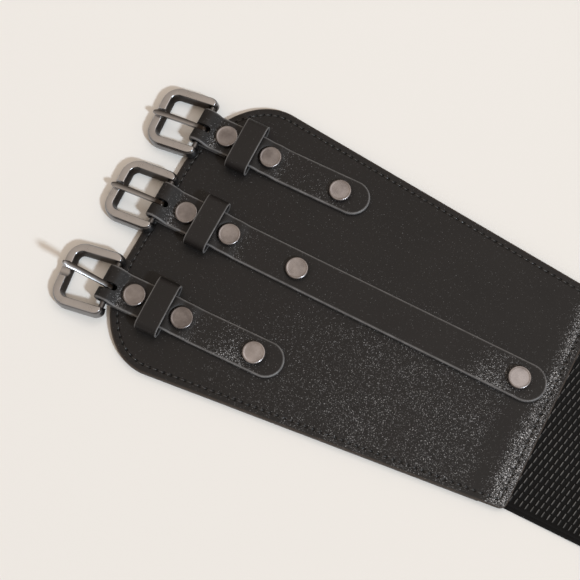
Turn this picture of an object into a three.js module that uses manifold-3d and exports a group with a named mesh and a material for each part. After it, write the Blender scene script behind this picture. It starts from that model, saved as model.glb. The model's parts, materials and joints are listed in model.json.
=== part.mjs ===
// Corset belt, unfastened and laid out flat on a table. A wide leather panel carries three buckle
// straps, a broad elastic band runs across the back, and a plain leather panel at its far end carries
// the three billets that the buckles take. Lengths are in millimetres. +X runs along the belt from the
// buckles to the billet tips, +Z is up, and the origin is the middle of the belt's footprint.

import * as THREE from 'three';
import { mergeVertices } from 'three/addons/utils/BufferGeometryUtils.js';
import Module from 'manifold-3d';

const wasm = await Module();
wasm.setup();

// Clearances
const gap = 0.3;               // between two pieces that touch
const slotPlay = 0.4;          // each side of a prong in its slot
const slotPast = 0.6;          // slot past a prong's eye
const floorGap = 0.05;         // under the buckle frame's lowest edge

// Elastic band
const elasticWidth = 100.5;
const elasticThick = 1.4;
const elasticShows = 250;      // between the two panels
const elasticTuck = 12;        // under the end of each panel
const elasticEdge = 0.4;       // chamfer along its selvages

// Panels
const panelThick = 3;
const panelLength = 190;       // buckle panel
const billetPanelLength = 150;
const panelHalfWide = 67.4;    // half height near the free end
const panelOver = 1;           // how far a panel's end stands past the elastic's edge
const panelBevel = 0.7;
const cornerLong = 30;         // free corners, along the belt
const cornerHigh = 43;         // free corners, across it
const cornerSewn = 3.5;        // corners at the sewn end
const panelLean = 1.3;         // lean of its two ends, at panelHalfWide

// Strap leather
const strapThick = 1.6;
const underLap = 3;            // underlayer past its stud's centre
const studRise = 1;            // of a strap's second stud, where the leather comes down from the keeper
const settle = 7;              // length from there to where the strap lies flat again
const billetWidth = 16;

// Studs
const capRadius = 5;
const capHeight = 1.5;
const capRim = 0.6;
const postRadius = 1.4;
const backRadius = 3.5;
const backThick = 0.6;

// Keepers
const keeperWidth = 10;        // along the strap
const keeperSpan = 25;         // across it, outside
const keeperThick = 1.3;
const keeperRoom = 2.4;        // above the strap, for the billet
const keeperCorner = 3.4;

// Buckle frames
const frameHeight = 30.2;
const frameReach = 23.8;        // heel bar to the outer edge
const frameTail = 1.9;         // heel bar to the ends of the arms
const frameThick = 4.6;
const armWidth = 5.2;
const endWidth = 5.2;
const frameCorner = 8.3;
const frameInner = 2.4;
const frameBevel = 1;           // chamfer round its upper face
const barRadius = 1.25;
const notchRadius = 2.4;
const notchDepth = 1.3;

// Prongs
const prongWidth = 2.2;
const prongThick = 1.6;         // also the wall of its eye
const prongBevel = 0.35;
const prongPast = 0.2;         // tip past the frame's outer edge
const prongSlide = -0.8;       // to one side of the notch's middle

// Billets
const billetFree = 90;         // past the panel's edge
const billetDrop = 14;         // length over which a billet comes down to the table
const billetStuds = [12, 46];  // in from the panel's edge
const billetEnd = 58;          // in from the panel's edge
const holeCount = 5;
const holePitch = 12;
const holeRadius = 1.5;
const holeFirst = 20;          // tip to the first hole

// One row for each buckle strap. axis is a share of panelHalfWide; tilt, turn and lift are in degrees;
// the other columns are lengths from the panel's free edge, apart from width, shift and tipStud.
// fold is the strap's folded end, tip its round end, turn the buckle's turn on the strap, shift its
// slide along the heel bar, and lift how far the prong stands up from the frame.
const straps = [
  { name: 'top', axis: 0.632, tilt: 0.4, width: 16, fold: -2.2, tip: 82.1, keeper: 22.9,
    studs: [12.9, 34.3], tipStud: 13.8, turn: 3.2, shift: -0.5, lift: 0 },
  { name: 'middle', axis: 0.0445, tilt: -0.5, width: 17, fold: -1.8, tip: panelLength - 6, keeper: 24,
    studs: [13.9, 34.9, 67.6], tipStud: 12, turn: 2.5, shift: -0.4, lift: 0 },
  { name: 'bottom', axis: -0.596, tilt: 0.9, width: 16, fold: -3.6, tip: 81.7, keeper: 23.3,
    studs: [12, 34.4], tipStud: 13.5, turn: 6, shift: -0.5, lift: 41 },
];

const leather = new THREE.MeshStandardMaterial({ color: 0x2d2928, roughness: 0.55, metalness: 0 });
const gunmetal = new THREE.MeshStandardMaterial({ color: 0x8a8480, roughness: 0.3, metalness: 0.9 });
const webbing = new THREE.MeshStandardMaterial({ color: 0x151515, roughness: 0.9, metalness: 0 });

// Heights that several pieces share
const onPanel = panelThick + gap;                     // underside of what lies on a panel
const upperLayer = onPanel + strapThick + gap;        // underside of a strap's raised layer
const foldRadius = barRadius + gap + strapThick / 2;  // middle of the leather round the heel bar
const barHeight = onPanel + strapThick / 2 + foldRadius;
const eyeRadius = barRadius + gap + prongThick;

// Room for the heel bar in its fold, which the buckle's turn takes up at the strap's edges
const loopPlay = (row) => (row.width / 2 + Math.abs(row.shift))
  * Math.tan(THREE.MathUtils.degToRad(Math.abs(row.turn)));

// Undersides of the caps of a buckle strap's studs: the first lies on the raised layer
const seats = [upperLayer + strapThick, onPanel + strapThick + studRise];
const seatOf = (i) => seats[i] ?? onPanel + strapThick;

const solid = (geometry) => {
  const bare = geometry.clone();
  bare.deleteAttribute('normal');
  bare.deleteAttribute('uv');
  const merged = mergeVertices(bare, 1e-4);
  return new wasm.Manifold(new wasm.Mesh({
    numProp: 3,
    vertProperties: new Float32Array(merged.attributes.position.array),
    triVerts: new Uint32Array(merged.index.array),
  }));
};

const geometryOf = (body) => {
  const { vertProperties, triVerts } = body.getMesh();
  const geometry = new THREE.BufferGeometry();
  geometry.setAttribute('position', new THREE.BufferAttribute(vertProperties, 3));
  geometry.setIndex(new THREE.BufferAttribute(triVerts, 1));
  geometry.computeVertexNormals();
  return geometry;
};

const add = (group, name, body, material) => {
  const mesh = new THREE.Mesh(geometryOf(body), material);
  mesh.name = name;
  group.add(mesh);
  return mesh;
};

// Upright prism of a plan outline between two heights, with an optional chamfer on both rims
const plate = (shape, low, high, bevel = 0, curveSegments = 6) => solid(new THREE.ExtrudeGeometry(shape, {
  depth: high - low - 2 * bevel,
  bevelEnabled: bevel > 0,
  bevelSize: bevel,
  bevelThickness: bevel,
  bevelOffset: -bevel,
  bevelSegments: 1,
  curveSegments,
}).translate(0, 0, low + bevel));

// Bar whose side view lies in the X-Z plane, centred on Y = 0
const sideBar = (shape, width, bevel = 0) => solid(new THREE.ExtrudeGeometry(shape, {
  depth: width - 2 * bevel,
  bevelEnabled: bevel > 0,
  bevelSize: bevel,
  bevelThickness: bevel,
  bevelOffset: -bevel,
  bevelSegments: 1,
  curveSegments: 4,
}).translate(0, 0, bevel - width / 2).rotateX(Math.PI / 2));

const box = (x0, x1, y0, y1, z0, z1) => solid(
  new THREE.BoxGeometry(x1 - x0, y1 - y0, z1 - z0)
    .translate((x0 + x1) / 2, (y0 + y1) / 2, (z0 + z1) / 2),
);

const upright = (radius, x, y, low, high, sides) => solid(
  new THREE.CylinderGeometry(radius, radius, high - low, sides)
    .rotateX(Math.PI / 2)
    .translate(x, y, (low + high) / 2),
);

// Outline of a strip of even thickness along a line of points
const strip = (points, thick) => {
  const offset = (side) => points.map((point, i) => {
    const before = points[Math.max(i - 1, 0)];
    const after = points[Math.min(i + 1, points.length - 1)];
    const along = new THREE.Vector2().subVectors(after, before).normalize();
    return new THREE.Vector2(point.x - side * along.y * thick / 2, point.y + side * along.x * thick / 2);
  });
  return new THREE.Shape([...offset(1), ...offset(-1).reverse()]);
};

// Smooth change of level between two places along a strip
const ramp = (x0, z0, x1, z1, steps = 5) => Array.from({ length: steps + 1 }, (_, i) => {
  const share = i / steps;
  const ease = (1 - Math.cos(Math.PI * share)) / 2;
  return new THREE.Vector2(x0 + (x1 - x0) * share, z0 + (z1 - z0) * ease);
});

// Panels: wide and round-cornered at the free end, straight and narrower where they are sewn over the
// elastic, which lies in a rebate under the leather. The big corners are quarter ellipses that run on
// into the tapered edges, and the free edge leans a little.
function panelShape(length) {
  const centre = panelHalfWide - cornerHigh;
  const sewnHalf = elasticWidth / 2 + panelOver;
  const slope = (panelHalfWide - sewnHalf) / (length - cornerLong);
  const past = Math.atan(slope * cornerLong / cornerHigh);
  const halfAt = (x) => centre + cornerHigh * Math.cos(past)
    - slope * (x - cornerLong - cornerLong * Math.sin(past));
  const shape = new THREE.Shape();
  shape.moveTo(length, -halfAt(length) + cornerSewn);
  shape.lineTo(length, halfAt(length) - cornerSewn);
  shape.quadraticCurveTo(length, halfAt(length), length - cornerSewn, halfAt(length - cornerSewn));
  shape.absellipse(cornerLong, centre, cornerLong, cornerHigh, Math.PI / 2 - past, Math.PI, false);
  shape.absellipse(cornerLong, -centre, cornerLong, cornerHigh, Math.PI, 1.5 * Math.PI + past, false);
  shape.lineTo(length - cornerSewn, -halfAt(length - cornerSewn));
  shape.quadraticCurveTo(length, -halfAt(length), length, -halfAt(length) + cornerSewn);
  return shape.getPoints(7).slice(0, -1).map(({ x, y }) => new THREE.Vector2(
    x + panelLean * (y / panelHalfWide),
    y,
  ));
}

function panel(length, studPlaces, mirrored) {
  const way = mirrored ? -1 : 1;
  const outline = panelShape(length).map(({ x, y }) => new THREE.Vector2(way * x, y));
  let body = plate(new THREE.Shape(outline), 0, panelThick, panelBevel);
  const rebate = way * (length - elasticTuck - gap);
  const past = way * (length + panelOver);
  body = body.subtract(box(
    Math.min(rebate, past), Math.max(rebate, past),
    -panelHalfWide, panelHalfWide,
    -panelThick, elasticThick + gap,
  ));
  for (const { x, y } of studPlaces) {
    body = body.subtract(upright(postRadius + gap, x, y, -gap, panelThick + gap, 10));
    body = body.subtract(upright(backRadius + gap, x, y, -gap, backThick + 2 * gap, 14));
  }
  return body;
}

// Elastic: one woven band with chamfered selvages
function elastic() {
  const half = elasticWidth / 2;
  const section = new THREE.Shape([
    [-half, elasticEdge], [-half + elasticEdge, 0], [half - elasticEdge, 0], [half, elasticEdge],
    [half, elasticThick - elasticEdge], [half - elasticEdge, elasticThick],
    [-half + elasticEdge, elasticThick], [-half, elasticThick - elasticEdge],
  ].map(([y, z]) => new THREE.Vector2(y, z)));
  const length = elasticShows + 2 * elasticTuck;
  return solid(new THREE.ExtrudeGeometry(section, { depth: length, bevelEnabled: false })
    .rotateX(Math.PI / 2)
    .rotateZ(Math.PI / 2)
    .translate(panelLength - elasticTuck, 0, 0));
}

// Stud: a double-cap rivet with a flat round-rimmed cap, a post and a thin cap let into the back
function stud(seat) {
  const base = seat + gap;
  const top = base + capHeight;
  const back = gap / 2;
  const profile = [
    [0, back], [backRadius, back], [backRadius, back + backThick], [postRadius, back + backThick],
    [postRadius, base], [capRadius - 0.2, base], [capRadius, top - capRim], [capRadius - capRim, top],
    [0, top],
  ].map(([r, z]) => new THREE.Vector2(r, z));
  return solid(new THREE.LatheGeometry(profile, 16).rotateX(Math.PI / 2));
}

// Plan outline of a strap between two ends, round at its tip
function strapPlan(start, tip, width) {
  const plan = new THREE.Shape();
  plan.moveTo(start, -width / 2);
  plan.lineTo(tip - width / 2, -width / 2);
  plan.absarc(tip - width / 2, 0, width / 2, -Math.PI / 2, Math.PI / 2, false);
  plan.lineTo(start, width / 2);
  return plan;
}

// Buckle strap: the leather goes round the heel bar and back under itself as far as the first stud,
// lies raised through the keeper, and comes down to the panel at the second stud.
function buckleStrap(row, bar, studPlaces) {
  const upper = upperLayer + strapThick / 2;
  const lower = onPanel + strapThick / 2;
  const [first, second] = row.studs;
  const play = loopPlay(row);
  const keeperEnd = row.keeper + keeperWidth / 2 + gap;
  const round = Array.from({ length: 9 }, (_, i) => {
    const angle = -Math.PI / 2 - (Math.PI * i) / 8;
    return new THREE.Vector2(
      bar - play + foldRadius * Math.cos(angle),
      barHeight + foldRadius * Math.sin(angle),
    );
  });
  const line = [
    new THREE.Vector2(first + underLap, lower),
    ...round,
    ...ramp(bar + play, barHeight + foldRadius, first - capRadius, upper),
    ...ramp(keeperEnd, upper, second - postRadius - gap, lower + studRise),
    ...ramp(second + postRadius + gap, lower + studRise, second + settle, lower),
    new THREE.Vector2(row.tip, lower),
  ];
  const height = barHeight + foldRadius + strapThick;
  let body = sideBar(strip(line, strapThick), row.width)
    .intersect(plate(strapPlan(row.fold - strapThick, row.tip, row.width), 0, height));
  const slotLength = eyeRadius + slotPast + play + foldRadius + strapThick;
  const slot = new THREE.BoxGeometry(slotLength, prongWidth + 2 * slotPlay, 2 * height)
    .translate(eyeRadius + slotPast - slotLength / 2, prongSlide, 0)
    .rotateZ(THREE.MathUtils.degToRad(row.turn))
    .translate(bar, row.shift, 0);
  body = body.subtract(solid(slot));
  studPlaces.forEach((x, i) => {
    body = body.subtract(upright(postRadius + gap, x, 0, 0, height, 10));
    body = body.subtract(upright(capRadius + gap, x, 0, seatOf(i), 2 * height, 20));
  });
  return body;
}

// The long strap as two solids, parted halfway between its second and third studs
function parted(strap, row) {
  const [, second, third] = row.studs;
  const stretch = (x0, x1) => strap.intersect(box(x0, x1, -row.width, row.width, 0, 2 * barHeight));
  const middle = (second + third) / 2;
  return [stretch(row.fold - strapThick, middle - gap / 2), stretch(middle + gap / 2, row.tip + strapThick)];
}

// Keeper: a closed loop of leather round the strap, proud of it
function keeper(row) {
  const low = onPanel;
  const high = upperLayer + strapThick + keeperRoom + keeperThick;
  const loop = (inset, corner) => {
    const half = keeperSpan / 2 - inset;
    const outline = new THREE.Shape();
    outline.moveTo(-half + corner, low + inset);
    outline.lineTo(half - corner, low + inset);
    outline.absarc(half - corner, low + inset + corner, corner, -Math.PI / 2, 0, false);
    outline.absarc(half - corner, high - inset - corner, corner, 0, Math.PI / 2, false);
    outline.absarc(-half + corner, high - inset - corner, corner, Math.PI / 2, Math.PI, false);
    outline.absarc(-half + corner, low + inset + corner, corner, Math.PI, 1.5 * Math.PI, false);
    return outline;
  };
  const section = loop(0, keeperCorner);
  section.holes.push(loop(keeperThick, keeperCorner - keeperThick));
  return solid(new THREE.ExtrudeGeometry(section, {
    depth: keeperWidth,
    bevelEnabled: false,
    curveSegments: 2,
  }).rotateX(Math.PI / 2).rotateZ(Math.PI / 2).translate(row.keeper - keeperWidth / 2, 0, 0));
}

// Buckle frame, cast in one with its heel bar. The heel bar's axis is the frame's own origin.
function buckleFrame() {
  const half = frameHeight / 2;
  const inner = half - armWidth;
  const end = -frameReach + endWidth;
  const nose = inner + 2 * frameBevel;
  const shape = new THREE.Shape();
  shape.moveTo(-frameReach + frameCorner, -half);
  shape.lineTo(frameTail - armWidth, -half);
  shape.quadraticCurveTo(frameTail, -half, frameTail, -nose);
  shape.lineTo(frameTail, -inner);
  shape.lineTo(end + frameInner, -inner);
  shape.absarc(end + frameInner, -inner + frameInner, frameInner, 1.5 * Math.PI, Math.PI, true);
  shape.absarc(end + frameInner, inner - frameInner, frameInner, Math.PI, Math.PI / 2, true);
  shape.lineTo(frameTail, inner);
  shape.lineTo(frameTail, nose);
  shape.quadraticCurveTo(frameTail, half, frameTail - armWidth, half);
  shape.lineTo(-frameReach + frameCorner, half);
  shape.absarc(-frameReach + frameCorner, half - frameCorner, frameCorner, Math.PI / 2, Math.PI, false);
  shape.absarc(-frameReach + frameCorner, -half + frameCorner, frameCorner, Math.PI, 1.5 * Math.PI, false);
  const bar = new THREE.CylinderGeometry(barRadius, barRadius, 2 * inner + armWidth, 12);
  const notch = new THREE.CylinderGeometry(notchRadius, notchRadius, 2 * endWidth + frameBevel, 14)
    .rotateZ(Math.PI / 2)
    .translate(-frameReach + endWidth / 2, 0, frameThick / 2 - notchDepth + notchRadius);
  const deep = frameThick / 2 + frameBevel;
  const flatBack = box(-2 * frameReach, frameReach, -frameHeight, frameHeight, -2 * deep, -frameThick / 2);
  return plate(shape, -deep, frameThick / 2, frameBevel, 3)
    .subtract(flatBack)
    .add(solid(bar))
    .subtract(solid(notch));
}

// Prong: a round eye on the heel bar and a straight shank whose tip lies in the frame's notch
function prong() {
  const tip = -frameReach - prongPast;
  const off = Math.abs(prongSlide) + prongWidth / 2 - prongBevel;
  const seat = frameThick / 2 - notchDepth + gap + notchRadius - Math.sqrt(notchRadius ** 2 - off ** 2);
  const shape = new THREE.Shape();
  shape.moveTo(0, eyeRadius);
  shape.lineTo(tip + prongThick / 2, seat + prongThick);
  shape.absarc(tip + prongThick / 2, seat + prongThick / 2, prongThick / 2, Math.PI / 2, 1.5 * Math.PI, false);
  const join = Math.PI - Math.asin((eyeRadius - prongThick) / eyeRadius);
  shape.lineTo(eyeRadius * Math.cos(join), eyeRadius * Math.sin(join));
  shape.absarc(0, 0, eyeRadius, join, 2.5 * Math.PI, false);
  const eye = new THREE.Path();
  eye.absarc(0, 0, barRadius + gap, 0, 2 * Math.PI, false);
  shape.holes.push(eye);
  return sideBar(shape, prongWidth, prongBevel).translate([0, prongSlide, 0]);
}

// Billet: a plain strap fixed to its panel by two studs, with a row of holes. Past the panel's edge it
// comes down to the table.
function billet(edge, studPlaces) {
  const tip = edge + billetFree;
  const high = onPanel + strapThick / 2;
  const line = [
    new THREE.Vector2(edge - billetEnd, high),
    ...ramp(edge + gap, high, edge + billetDrop, strapThick / 2),
    new THREE.Vector2(tip, strapThick / 2),
  ];
  let body = sideBar(strip(line, strapThick), billetWidth)
    .intersect(plate(strapPlan(edge - billetEnd, tip, billetWidth), -gap, onPanel + strapThick + gap));
  for (const x of studPlaces) {
    body = body.subtract(upright(postRadius + gap, x, 0, 0, 2 * onPanel, 10));
  }
  for (let i = 0; i < holeCount; i += 1) {
    const x = tip - holeFirst - i * holePitch;
    body = body.subtract(upright(holeRadius, x, 0, -gap, 2 * onPanel, 10));
  }
  return body;
}

// The frame hangs down from its heel bar until its lower outer edge is on the table.
const framePitch = Math.asin((barHeight - floorGap) / Math.hypot(frameReach, frameThick / 2))
  - Math.atan2(frameThick / 2, frameReach);

const belt = new THREE.Group();
const layout = new THREE.Group();
belt.add(layout);

const onPanelPlane = (row, x) => {
  const tilt = THREE.MathUtils.degToRad(row.tilt);
  return { x: x * Math.cos(tilt), y: row.axis * panelHalfWide + x * Math.sin(tilt) };
};
const studsOf = (row) => [...row.studs, row.tip - row.tipStud];
const buckleStuds = straps.flatMap((row) => studsOf(row).map((x) => onPanelPlane(row, x)));
add(layout, 'buckle_panel', panel(panelLength, buckleStuds, false), leather);
add(layout, 'elastic_band', elastic(), webbing);

for (const row of straps) {
  const group = new THREE.Group();
  group.position.y = row.axis * panelHalfWide;
  group.rotation.z = THREE.MathUtils.degToRad(row.tilt);
  layout.add(group);

  const bar = row.fold + strapThick / 2 + foldRadius + loopPlay(row);
  const places = studsOf(row);
  const strap = buckleStrap(row, bar, places);
  const [near, far] = row.studs.length > 2 ? parted(strap, row) : [strap];
  add(group, `strap_${row.name}`, near, leather);
  if (far) add(group, `strap_${row.name}_run`, far, leather);
  add(group, `keeper_${row.name}`, keeper(row), leather);
  places.forEach((x, i) => {
    add(group, `stud_${row.name}_${i + 1}`, stud(seatOf(i)), gunmetal).position.x = x;
  });

  const buckle = new THREE.Group();
  buckle.position.set(bar, row.shift, barHeight);
  buckle.rotation.z = THREE.MathUtils.degToRad(row.turn);
  group.add(buckle);
  add(buckle, `buckle_frame_${row.name}`, buckleFrame(), gunmetal).rotation.y = -framePitch;
  add(buckle, `prong_${row.name}`, prong(), gunmetal).rotation.y
    = THREE.MathUtils.degToRad(row.lift) - framePitch;
}

const billetEdge = panelLength + elasticShows + billetPanelLength;
const billetPlaces = billetStuds.map((inset) => -inset);
const billetStudPlaces = straps.flatMap((row) => billetPlaces.map((x) => (
  { x, y: row.axis * panelHalfWide })));
add(layout, 'billet_panel', panel(billetPanelLength, billetStudPlaces, true), leather)
  .position.x = billetEdge;

for (const row of straps) {
  const group = new THREE.Group();
  group.position.set(billetEdge, row.axis * panelHalfWide, 0);
  layout.add(group);
  add(group, `billet_${row.name}`, billet(0, billetPlaces), leather);
  billetPlaces.forEach((x, i) => {
    add(group, `billet_stud_${row.name}_${i + 1}`, stud(onPanel + strapThick), gunmetal).position.x = x;
  });
}

const footprint = new THREE.Box3().setFromObject(belt, true).getCenter(new THREE.Vector3());
layout.position.set(-footprint.x, -footprint.y, 0);

export default belt;
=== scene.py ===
# Corset belt, unfastened and laid out flat: a leather panel with three buckle straps, a broad elastic
# band, and a plain panel with three billets. Lengths are in metres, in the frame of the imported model.
import json
import math
import random

import bmesh
import bpy
import numpy as np
from mathutils import Matrix, Vector


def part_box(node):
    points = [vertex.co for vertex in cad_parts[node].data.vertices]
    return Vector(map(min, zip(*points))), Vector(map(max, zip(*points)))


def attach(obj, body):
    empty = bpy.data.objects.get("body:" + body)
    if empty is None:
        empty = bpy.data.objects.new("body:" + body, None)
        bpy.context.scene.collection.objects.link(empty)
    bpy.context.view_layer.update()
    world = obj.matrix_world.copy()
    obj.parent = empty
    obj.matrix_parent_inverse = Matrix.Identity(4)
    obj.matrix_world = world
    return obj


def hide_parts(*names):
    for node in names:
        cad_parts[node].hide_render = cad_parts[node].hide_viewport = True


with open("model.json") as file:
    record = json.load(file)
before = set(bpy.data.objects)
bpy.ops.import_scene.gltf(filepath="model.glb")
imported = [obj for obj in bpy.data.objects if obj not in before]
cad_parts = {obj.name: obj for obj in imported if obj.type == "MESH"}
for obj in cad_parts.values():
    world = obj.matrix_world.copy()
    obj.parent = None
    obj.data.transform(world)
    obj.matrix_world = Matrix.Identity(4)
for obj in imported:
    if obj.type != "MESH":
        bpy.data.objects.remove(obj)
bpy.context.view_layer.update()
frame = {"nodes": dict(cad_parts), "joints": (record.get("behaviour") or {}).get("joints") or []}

random.seed(7)
MM = 0.001


# Table, lamps and camera
# The belt lies on a plain pale table top. A distant lamp on the lower right throws short tan shadows to
# the upper left, and a round soft lamp overhead gives the leather its sheen.

class Socket:
    """One output of a shader node, which plain arithmetic can be written with."""

    def __init__(self, tree, output):
        self.tree = tree
        self.output = output

    def maths(self, operation, *values):
        made = self.tree.nodes.new("ShaderNodeMath")
        made.operation = operation
        for place, value in zip(made.inputs, values):
            plug(self.tree, place, value)
        return Socket(self.tree, made.outputs[0])

    def __add__(self, other):
        return self.maths("ADD", self, other)

    def __sub__(self, other):
        return self.maths("SUBTRACT", self, other)

    def __mul__(self, other):
        return self.maths("MULTIPLY", self, other)

    def __truediv__(self, other):
        return self.maths("DIVIDE", self, other)

    def __pow__(self, other):
        return self.maths("POWER", self, other)

    def __radd__(self, other):
        return self.maths("ADD", other, self)

    def __rsub__(self, other):
        return self.maths("SUBTRACT", other, self)

    def __rmul__(self, other):
        return self.maths("MULTIPLY", other, self)

    def at_most(self, limit):
        return self.maths("MINIMUM", self, limit)

    def above(self, level, softness):
        """0 below a level and 1 above it, with a soft step between."""
        share = (self - (level - softness)) / (2 * softness)
        return share.maths("SMOOTH_MAX", share.at_most(1), 0, 0.05)


def plug(tree, place, value):
    if isinstance(value, Socket):
        tree.links.new(value.output, place)
    else:
        place.default_value = value


class Nodes:
    """The nodes of a material or of the room, which all come from one method."""

    def __init__(self, tree):
        self.tree = tree

    def node(self, kind, settings=None, sockets=None, output=0):
        made = self.tree.nodes.new("ShaderNode" + kind)
        for key, value in (settings or {}).items():
            setattr(made, key, value)
        for key, value in (sockets or {}).items():
            plug(self.tree, made.inputs[key], value)
        return Socket(self.tree, made.outputs[output])


class Finish(Nodes):
    """A material of one shader."""

    def __init__(self, name, **fixed):
        self.material = bpy.data.materials.new(name)
        self.material.use_nodes = True
        super().__init__(self.material.node_tree)
        self.shader = self.tree.nodes["Principled BSDF"]
        for socket, value in fixed.items():
            self.shader.inputs[socket.replace("_", " ")].default_value = value

    def place(self):
        return self.node("TexCoord", output=3)

    def mix(self, share, first, second):
        """Colour between two colours."""
        return self.node("Mix", {"data_type": "RGBA"}, {0: share, 6: first, 7: second}, output=2)

    def noise(self, scale, detail=2, roughness=0.5, where=None):
        sockets = {"Vector": where or self.place(), "Scale": scale, "Detail": detail, "Roughness": roughness}
        return self.node("TexNoise", None, sockets)

    def bump(self, height, depth, under=None):
        sockets = {"Height": height, "Distance": depth, "Strength": 1.0}
        if under:
            sockets["Normal"] = under
        return self.node("Bump", None, sockets)

    def varies(self, **values):
        for socket, value in values.items():
            plug(self.tree, self.shader.inputs[socket.replace("_", " ")], value)
        return self


def paint(red, green, blue):
    """Linear colour of a screen colour from 0 to 255."""
    linear = [((c / 255 + 0.055) / 1.055) ** 2.4 if c > 10 else c / 3294 for c in (red, green, blue)]
    return (*linear, 1.0)


table_top = bpy.data.meshes.new("table_top")
reach = 4.0
table_top.from_pydata([(-reach, -reach, 0), (reach, -reach, 0), (reach, reach, 0), (-reach, reach, 0)],
                      [], [(0, 1, 2, 3)])
table = bpy.data.objects.new("table_top", table_top)
bpy.context.scene.collection.objects.link(table)
card = Finish("matt_card", Roughness=0.9)
card.varies(Base_Color=card.mix(card.noise(3.0), paint(230, 229, 227), paint(232, 231, 229)))
table_top.materials.append(card.material)

view_point = Vector((-0.2595, -0.0059, 0.0))
heading = Matrix.Rotation(math.radians(24.83), 4, "Z")
camera_tilt = math.radians(18)
camera_roll = math.radians(2)
camera_distance = 0.56
turn = heading @ Matrix.Rotation(camera_tilt, 4, "X") @ Matrix.Rotation(camera_roll, 4, "Z")
camera = bpy.data.objects.new("camera", bpy.data.cameras.new("camera"))
camera.data.lens = 80.83
camera.data.sensor_width = 36
camera.matrix_world = Matrix.Translation(view_point) @ turn @ Matrix.Translation((0, 0, camera_distance))
bpy.context.scene.collection.objects.link(camera)
bpy.context.scene.camera = camera
bpy.context.scene.view_settings.view_transform = "Standard"


side_lamp = bpy.data.objects.new("side_lamp", bpy.data.lights.new("side_lamp", "SUN"))
side_lamp.data.energy = 2.3
side_lamp.data.angle = math.radians(6)
side_lamp.data.color = (0.80, 0.91, 1.0)
side_lamp.rotation_euler = (heading.to_3x3() @ Vector((0.75, -0.75, 1.0))).to_track_quat("Z", "Y").to_euler()
bpy.context.scene.collection.objects.link(side_lamp)
soft_lamp = bpy.data.objects.new("soft_lamp", bpy.data.lights.new("soft_lamp", "AREA"))
soft_lamp.data.shape = "DISK"
soft_lamp.data.size = 0.7
soft_lamp.data.energy = 2.2
soft_lamp.data.color = (1.0, 0.98, 0.97)
soft_way = (heading.to_3x3() @ Vector((0.34, 0.36, 1.0))).normalized()
soft_lamp.location = view_point + soft_way * 1.6
soft_lamp.rotation_euler = soft_way.to_track_quat("Z", "Y").to_euler()
bpy.context.scene.collection.objects.link(soft_lamp)
sky = bpy.data.worlds.new("room")
sky.use_nodes = True
room = Nodes(sky.node_tree)
ceiling = sky.node_tree.nodes["Background"]
ceiling.inputs["Color"].default_value = (0.60, 0.50, 0.41, 1.0)
upwards = room.node("SeparateXYZ", None, {"Vector": room.node("TexCoord")}, output=2)
plug(sky.node_tree, ceiling.inputs["Strength"], 0.36 + 0.96 * upwards.maths("MAXIMUM", upwards, 0))
bpy.context.scene.world = sky


# Panels
# Two panels of smooth black leather 3 mm thick, edge-painted, with round corners at the free end and a
# lockstitch seam just inside the edge. The brownish light on the edge paint is a painted reflection of the
# table, the stitch holes are painted black as painted shade, and painted glints are sprinkled on the
# grain. The elastic goes into a rebate under the sewn end.

panel_thick = 3.0 * MM
panel_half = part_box("buckle_panel")[1].y
corner_long = 30 * MM
corner_high = 43 * MM
corner_sewn = 3.5 * MM
panel_lean = 1.3 * MM
sewn_half = 51.25 * MM
seam_inset = 3.3 * MM
stitch_pitch = 3.2 * MM


def leather(name, tone, edge_highlight_tone, seamed=False):
    """Black leather with a fine grain. The attribute edge carries its painted edges, whose light tone is
    painted
    light: a painted highlight on the straps and keepers and a painted reflection of the table on the panels.
    glint carries where painted glints are sprinkled on the grain: bright flecks on a darker, bluish ground."""
    finish = Finish(name, Specular_IOR_Level=0.37)
    edge = finish.node("Attribute", {"attribute_name": "edge"}, output=2)
    glint = finish.node("Attribute", {"attribute_name": "glint"}, output=2)
    cells = {"Vector": finish.place(), "Scale": 4000.0}
    grain = finish.node("TexVoronoi", {"feature": "F1"}, cells)
    facet = finish.node("TexVoronoi", {"feature": "F1"}, cells, output=1)
    chance = finish.node("SeparateColor", None, {"Color": facet})
    glint_brightness = finish.node("SeparateColor", None, {"Color": facet}, output=1)
    patch = finish.noise(55, 3, 0.6)
    slow = finish.noise(24, 2, 0.5)
    # Painted glints: where glint is high the ground is painted a darker, bluish black, with bright flecks on
    # it.
    lit = (glint * (0.5 + patch)).at_most(1)
    painted_glint = (chance + 0.34 * lit).above(1.0, 0.03) * (1 - edge) * (0.15 + 0.85 * lit)
    base = finish.mix(slow, paint(*[c - 4 for c in tone]), paint(*[c + 4 for c in tone]))
    base = finish.mix(lit * 0.4, base, paint(7, 8, 10))
    base = finish.mix(painted_glint, base, finish.mix(glint_brightness * glint_brightness, paint(70, 70, 72), paint(226, 227, 230)))
    streak = finish.noise(210, 2, 0.6)
    # Painted highlight: the light edge tone along the painted edges, streaked by noise.
    base = finish.mix(edge * (0.25 + 0.9 * streak), base, paint(*edge_highlight_tone))
    height = grain * (0.3 + 0.5 * lit) + slow * 2
    if seamed:
        run = finish.node("Attribute", {"attribute_name": "run"}, output=2)
        inset = finish.node("Attribute", {"attribute_name": "inset"}, output=2)
        ahead = (run.maths("FRACT", run + 0.5) - 0.5) * stitch_pitch
        aside = inset - seam_inset
        away = (ahead * ahead + aside * aside) ** 0.5
        # Painted shade: the stitch holes are painted black.
        painted_hole_shade = 1 - away.above(0.5 * MM, 0.16 * MM)
        base = finish.mix(painted_hole_shade, base, paint(3, 3, 3))
        height = height - painted_hole_shade * 6
    rough = 0.5 + 0.12 * patch - 0.12 * edge - 0.1 * painted_glint
    return finish.varies(Base_Color=base, Roughness=rough, Normal=finish.bump(height, 0.00006))


# The brownish light on the panels' edge paint is a painted reflection of the table on the rounded edge.
panel_leather = leather("panel_leather", (15, 12, 12), (72, 62, 55), seamed=True)


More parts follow.
